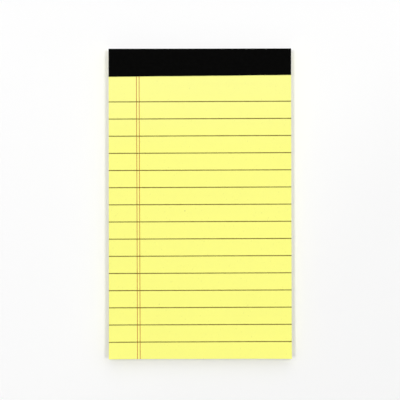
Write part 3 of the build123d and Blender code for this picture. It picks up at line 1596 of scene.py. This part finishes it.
@dataclass
class PrintedLines:
    """The rules and margin lines: thin ink films that follow the top leaf.

    Attributes:
        pad: The pad's measures.
        layout: Where the print lies.
        lie: How the leaves lie.
        rule: How the rules are made.
        margin: How the margin lines are made; the rules were printed over them.
        sunk: How far the ink goes into the leaf.
        ragged: How much a line's width wavers, as a share of it.
        ragged_length: Length of those wavers.
        tuck: How far the margin lines go in under the tape.
    """

    pad: PadMeasures
    layout: PrintLayout
    lie: LeafLie
    rule: LineStyle = LineStyle(InkFinish.rule(), 0.012 * MM, 190)
    margin: LineStyle = LineStyle(InkFinish.margin(), 0.008 * MM, 300)
    sunk: float = 0.02 * MM
    ragged: float = 0.12
    ragged_length: float = 0.9 * MM
    tuck: float = 0.1 * MM

    def build(self) -> list[bpy.types.Object]:
        """Make the rules and the margin lines.

        Returns:
            The pieces.
        """
        rules = MeshDraft("printed_rule_films")
        margins = MeshDraft("printed_margin_films")
        self.add_lines(rules, self.rule_runs(), self.layout.rule_width, self.rule)
        self.add_lines(margins, self.margin_runs(), self.layout.margin_width, self.margin)
        return [
            rules.finish(self.rule.ink.material(), self.rule.ink.slot, Node.RULES),
            margins.finish(self.margin.ink.material(), self.margin.ink.slot, Node.MARGIN),
        ]

    def rule_runs(self) -> list[tuple[Vector, Vector]]:
        """Start and end of each rule, from edge to edge of the leaf."""
        left, right = self.pad.left, self.pad.right
        return [(Vector((left, start)), Vector((right, end))) for start, end in self.layout.rules]

    def margin_runs(self) -> list[tuple[Vector, Vector]]:
        """Find the way of the margin lines, from the free edge to under the tape.

        Returns:
            Start and end of each.
        """
        runs = []
        for place in self.layout.margins:
            foot = Vector((place, self.pad.free_edge))
            rise = self.pad.flap_edge(place) + self.tuck - foot.y
            runs.append((foot, foot + Vector((-rise * math.tan(self.layout.skew), rise))))
        return runs

    def add_lines(
        self, draft: MeshDraft, runs: list[tuple[Vector, Vector]], width: float, style: LineStyle
    ) -> None:
        """Add printed lines to a mesh.

        Args:
            draft: The mesh in the making.
            runs: Start and end of each line on the page.
            width: Width of the lines.
            style: How they are made.
        """
        for (start, end), area in zip(runs, MapArea().bands(*[1] * len(runs))):
            centres = [start.lerp(end, share) for share in even_shares(style.steps)]
            run = (end - start).normalized()
            out = Vector((-run.y, run.x)) * width / 2
            sides = []
            for way in (-1, 1):
                sides.append([c + way * out * self.waver(c, way * width) for c in centres])
            upper = [[self.on_leaf(plan, style.film) for plan in side] for side in sides]
            lower = [[self.on_leaf(plan, -self.sunk) for plan in side] for side in sides]
            draft.add_slab(upper, lower, area)

    def waver(self, centre: Vector, offset: float) -> float:
        """How far out one side of a line is, where 1 is its true width."""
        return 1 + self.ragged * ripple(centre.x + offset, centre.y, self.ragged_length)

    def on_leaf(self, plan: Vector, rise: float) -> Vector:
        """The point that stands so far above a place on the top leaf."""
        return Vector((*plan, self.lie.height(*plan, 1.0) + rise))


@dataclass(frozen=True)
class Station:
    """A place on the tape's outer face, in a section along the page.

    Attributes:
        y: Its place along the page.
        z: Its height.
        angle: The way that it faces, in radians from +Y towards +Z.
    """

    y: float
    z: float
    angle: float

    def point(self, x: float, out: float) -> Vector:
        """The point that stands so far out from the face, at x across the page."""
        return Vector((x, self.y + out * math.cos(self.angle), self.z + out * math.sin(self.angle)))


@dataclass
class BindingTape:
    """The tape: a strip folded from the front flap over the spine to the back flap.

    Attributes:
        pad: The pad's measures.
        staples: The staples under it.
        finish: The tape's finish.
        seat: Room between the tape and what it is glued to.
        columns: Faces across the page.
        flap_steps: Faces along each flap.
        fold_steps: Faces round each fold.
        spine_steps: Faces up the spine.
        edge_stray: How far the front flap's cut edge strays.
        stray_length: Length of the slow strays of that edge.
        nick_length: Length of its small nicks.
        nick_share: How deep the nicks are, as a share of the slow strays.
        ridge_rise: How far the tape stands up over a staple's crown.
        ridge_half_width: Half the width of that ridge.
        unevenness: Height of the slow unevenness of the glued flap.
        swell_length: Length of that.
        bubble_length: Length of the smaller bubbles on it.
        bubble_share: How high those are, as a share of the slow unevenness.
    """

    pad: PadMeasures
    staples: StapleLayout
    finish: TapeFinish = TapeFinish()
    seat: float = 0.01 * MM
    columns: int = 120
    flap_steps: int = 30
    fold_steps: int = 8
    spine_steps: int = 12
    edge_stray: float = 0.05 * MM
    stray_length: float = 11 * MM
    nick_length: float = 1.6 * MM
    nick_share: float = 0.3
    ridge_rise: float = 0.07 * MM
    ridge_half_width: float = 0.9 * MM
    unevenness: float = 0.015 * MM
    swell_length: float = 7 * MM
    bubble_length: float = 2.3 * MM
    bubble_share: float = 0.5

    @property
    def outer_radius(self) -> float:
        """Radius of the tape's outer face round its folds."""
        return self.pad.fold_radius + self.pad.tape_thickness

    def build(self) -> list[bpy.types.Object]:
        """Make the tape.

        Returns:
            The piece.
        """
        pad = self.pad
        draft = MeshDraft("folded_tape")
        back = pad.tape_thickness - self.seat
        outer: Grid = []
        inner: Grid = []
        for share in even_shares(self.columns):
            x = mix(pad.left, pad.right, share)
            stations = self.section(self.front_edge(x))
            outer.append([station.point(x, self.swell(x, station)) for station in stations])
            inner.append([station.point(x, -back) for station in stations])
        draft.add_slab(outer, inner, MapArea())
        return [draft.finish(self.finish.material(pad), Slot.TAPE, Node.TAPE)]

    def section(self, start: float) -> list[Station]:
        """The way round the tape's outer face, from the front flap to the back one.

        Args:
            start: Where the front flap starts along the page.

        Returns:
            Places on that way.
        """
        pad = self.pad
        upwards, downwards = math.pi / 2, -math.pi / 2
        turn_y = pad.spine_face - self.outer_radius
        upper_z, lower_z = pad.tape_top - self.outer_radius, pad.tape_bottom + self.outer_radius
        flap, fold = even_shares(self.flap_steps), even_shares(self.fold_steps)
        stations = [Station(mix(start, turn_y, share), pad.tape_top, upwards) for share in flap[:-1]]
        for share in fold:
            stations.append(self.on_fold(turn_y, upper_z, mix(upwards, 0.0, share)))
        for share in even_shares(self.spine_steps)[1:-1]:
            stations.append(Station(pad.spine_face, mix(upper_z, lower_z, share), 0.0))
        for share in fold:
            stations.append(self.on_fold(turn_y, lower_z, mix(0.0, downwards, share)))
        for share in flap[1:]:
            y = mix(turn_y, pad.back_flap_edge, share)
            stations.append(Station(y, pad.tape_bottom, downwards))
        return stations

    def on_fold(self, y: float, z: float, angle: float) -> Station:
        """A place on a fold that turns about y and z."""
        radius = self.outer_radius
        return Station(y + radius * math.cos(angle), z + radius * math.sin(angle), angle)

    def front_edge(self, x: float) -> float:
        """The front flap's lower edge, with the small strays of its cut."""
        slow, quick = ripple(x, 0.0, self.stray_length), ripple(x, 0.0, self.nick_length)
        return self.pad.flap_edge(x) + self.edge_stray * (slow + self.nick_share * quick)

    def swell(self, x: float, station: Station) -> float:
        """How far the front flap stands up: ridges over the staples, and a little unevenness.

        Args:
            x: Place across the page.
            station: Place round the tape.

        Returns:
            The rise, which dies away round the fold.
        """
        y = station.y
        bubbles = ripple(x, y, self.bubble_length) * self.bubble_share
        rise = self.unevenness * (ripple(x, y, self.swell_length) + bubbles)
        for low, high in self.staples.crowns:
            beside = max(low - x, x - high, 0.0)
            away = math.hypot(beside, y - self.staples.line) / self.ridge_half_width
            rise += self.ridge_rise * ease(1 - away)
        return rise * max(math.sin(station.angle), 0.0)


@dataclass(frozen=True)
class Lamp:
    """A soft square lamp that points at the pad.

    Attributes:
        name: Name of the lamp.
        bearing: Direction that it stands in, in degrees from +X towards +Y.
        tilt: Its angle from straight above, in degrees.
        size: Length of its side.
        share: Its share of the light on the page, where 1 shows a colour as written.
        distance: How far away it is.
    """

    name: str
    bearing: float
    tilt: float
    size: float
    share: float
    distance: float = 1.8

    def build(self, target: Vector) -> bpy.types.Object:
        """Make the lamp.

        Args:
            target: The point that it lights.

        Returns:
            The lamp.
        """
        bearing, tilt = math.radians(self.bearing), math.radians(self.tilt)
        out = math.sin(tilt)
        away = Vector((math.cos(bearing) * out, math.sin(bearing) * out, math.cos(tilt)))
        data = bpy.data.lights.new(self.name, "AREA")
        data.size = self.size
        data.energy = self.share * (math.pi * self.distance) ** 2 / math.cos(tilt)
        lamp = bpy.data.objects.new(self.name, data)
        lamp.location = target + away * self.distance
        lamp.rotation_euler = away.to_track_quat("Z", "Y").to_euler()
        bpy.context.scene.collection.objects.link(lamp)
        return lamp


@dataclass
class Studio:
    """The pale floor, the soft lamps, the surrounding light and the camera.

    Attributes:
        pad: The pad's measures.
        view: The camera.
        floor_reach: How far from the pad's middle the floor goes.
        floor_solid: How far from there it starts to fade into the backdrop.
        floor_tint: Colour of the floor at its brightest, behind the pad on the left.
        floor_painted_shade_tint: Its colour at its darkest, before the pad on the right, as painted shade.
        painted_shade_start: Where the painted shade starts, on the slant from behind on the left.
        painted_shade_end: Where it is at its darkest, on that slant.
        floor_clouds: Faint clouds in the floor.
        floor_tone: Tones of those.
        floor_roughness: Roughness of the floor.
        floor_specular: Strength of its faint shine.
        fill: Share of the light that comes from all round.
        backdrop: Brightness of the surroundings where they show.
        lamps: The lamps: three small ones that draw the shadows, and three wide ones.
    """

    pad: PadMeasures
    view: PhotoView
    floor_reach: float = 0.5
    floor_solid: float = 0.15
    floor_tint: Colour = (0.99, 0.99, 0.99)
    floor_painted_shade_tint: Colour = (0.955, 0.955, 0.955)
    painted_shade_start: float = 0.0
    painted_shade_end: float = 0.095
    floor_clouds: Grain = Grain(0.12)
    floor_tone: Ramp = Ramp(start=0.995, end=1.0)
    floor_roughness: float = 0.8
    floor_specular: float = 0.1
    fill: float = 0.12
    backdrop: float = 0.95
    lamps: tuple[Lamp, ...] = (
        Lamp("right_lamp", bearing=5, tilt=19.5, size=0.22, share=0.22),
        Lamp("left_lamp", bearing=178, tilt=17.5, size=0.22, share=0.25),
        Lamp("head_lamp", bearing=92, tilt=12.5, size=0.14, share=0.15),
        Lamp("head_softbox", bearing=86, tilt=42, size=1.4, share=0.165),
        Lamp("right_softbox", bearing=22, tilt=46, size=1.4, share=0.08),
        Lamp("left_softbox", bearing=160, tilt=44, size=1.4, share=0.06),
    )

    def build(self) -> None:
        """Make the stage, the light and the camera."""
        self.build_floor()
        self.build_surroundings()
        target = Vector((0.0, 0.0, self.pad.page_top))
        for lamp in self.lamps:
            lamp.build(target)
        self.view.build(self.pad)
        bpy.context.scene.view_settings.view_transform = "Standard"

    def build_floor(self) -> None:
        """Make the floor that the pad lies on, which fades into the backdrop all round."""
        reach = self.floor_reach
        mesh = bpy.data.meshes.new("floor")
        corners = [(-reach, -reach, 0.0), (reach, -reach, 0.0), (reach, reach, 0.0), (-reach, reach, 0.0)]
        mesh.from_pydata(corners, [], [(0, 1, 2, 3)])
        mesh.materials.append(self.floor_material())
        floor = bpy.data.objects.new("floor", mesh)
        bpy.context.scene.collection.objects.link(floor)

    def floor_material(self) -> bpy.types.Material:
        """Material of the floor.

        Returns:
            The material.
        """
        surface = Surface(
            "pale_floor", Specular_IOR_Level=self.floor_specular, Roughness=self.floor_roughness
        )
        # Painted shade: the floor darkens on a slant towards the front right, as if the light fell off
        # there
        slant = surface.math("SUBTRACT", surface.axis(Axis.ACROSS), surface.axis(Axis.ALONG))
        painted_shade_share = surface.ramp(slant, Ramp(self.painted_shade_start, self.painted_shade_end))
        tint = surface.blend(painted_shade_share, self.floor_tint, self.floor_painted_shade_tint)
        surface.set("Base Color", surface.shade(tint, surface.mottle(self.floor_clouds, self.floor_tone)))
        away = surface.distance(Vector((0.0, 0.0, 0.0)))
        surface.fade_out(surface.ramp(away, Ramp(self.floor_solid, self.floor_reach)))
        return surface.material

    def build_surroundings(self) -> None:
        """Light the scene from all round, and show a pale backdrop to the camera and to gloss."""
        world = bpy.data.worlds.new("surroundings")
        world.use_nodes = True
        bpy.context.scene.world = world
        tree = world.node_tree
        background = tree.nodes["Background"]
        background.inputs["Color"].default_value = (1.0, 1.0, 1.0, 1.0)
        path = tree.nodes.new("ShaderNodeLightPath")
        shown = path.outputs["Is Camera Ray"]
        for ray in ("Is Glossy Ray", "Is Transmission Ray"):
            either = tree.nodes.new("ShaderNodeMath")
            either.operation = "MAXIMUM"
            tree.links.new(shown, either.inputs[0])
            tree.links.new(path.outputs[ray], either.inputs[1])
            shown = either.outputs[0]
        strength = tree.nodes.new("ShaderNodeMix")
        strength.inputs["A"].default_value = self.fill
        strength.inputs["B"].default_value = self.backdrop
        tree.links.new(shown, strength.inputs["Factor"])
        tree.links.new(strength.outputs["Result"], background.inputs["Strength"])


def main() -> None:
    """Build the pad's pieces in order, then its stage, and report them."""
    logging.basicConfig(level=logging.INFO, format="%(name)s: %(message)s")
    pad = PadMeasures.from_frame()
    layout = PrintLayout.from_frame(pad)
    staples = StapleLayout.from_frame()
    lie = LeafLie(pad)
    view = PhotoView()
    assemblies = [
        Backing(),
        LeafBlock(pad, layout, staples, lie, view),
        PrintedLines(pad, layout, lie),
        BindingTape(pad, staples),
    ]
    for assembly in assemblies:
        pieces = assembly.build()
        LOG.info("%s: %s", type(assembly).__name__, ", ".join(piece.name for piece in pieces))
    Studio(pad, view).build()


if __name__ == "__main__":
    main()
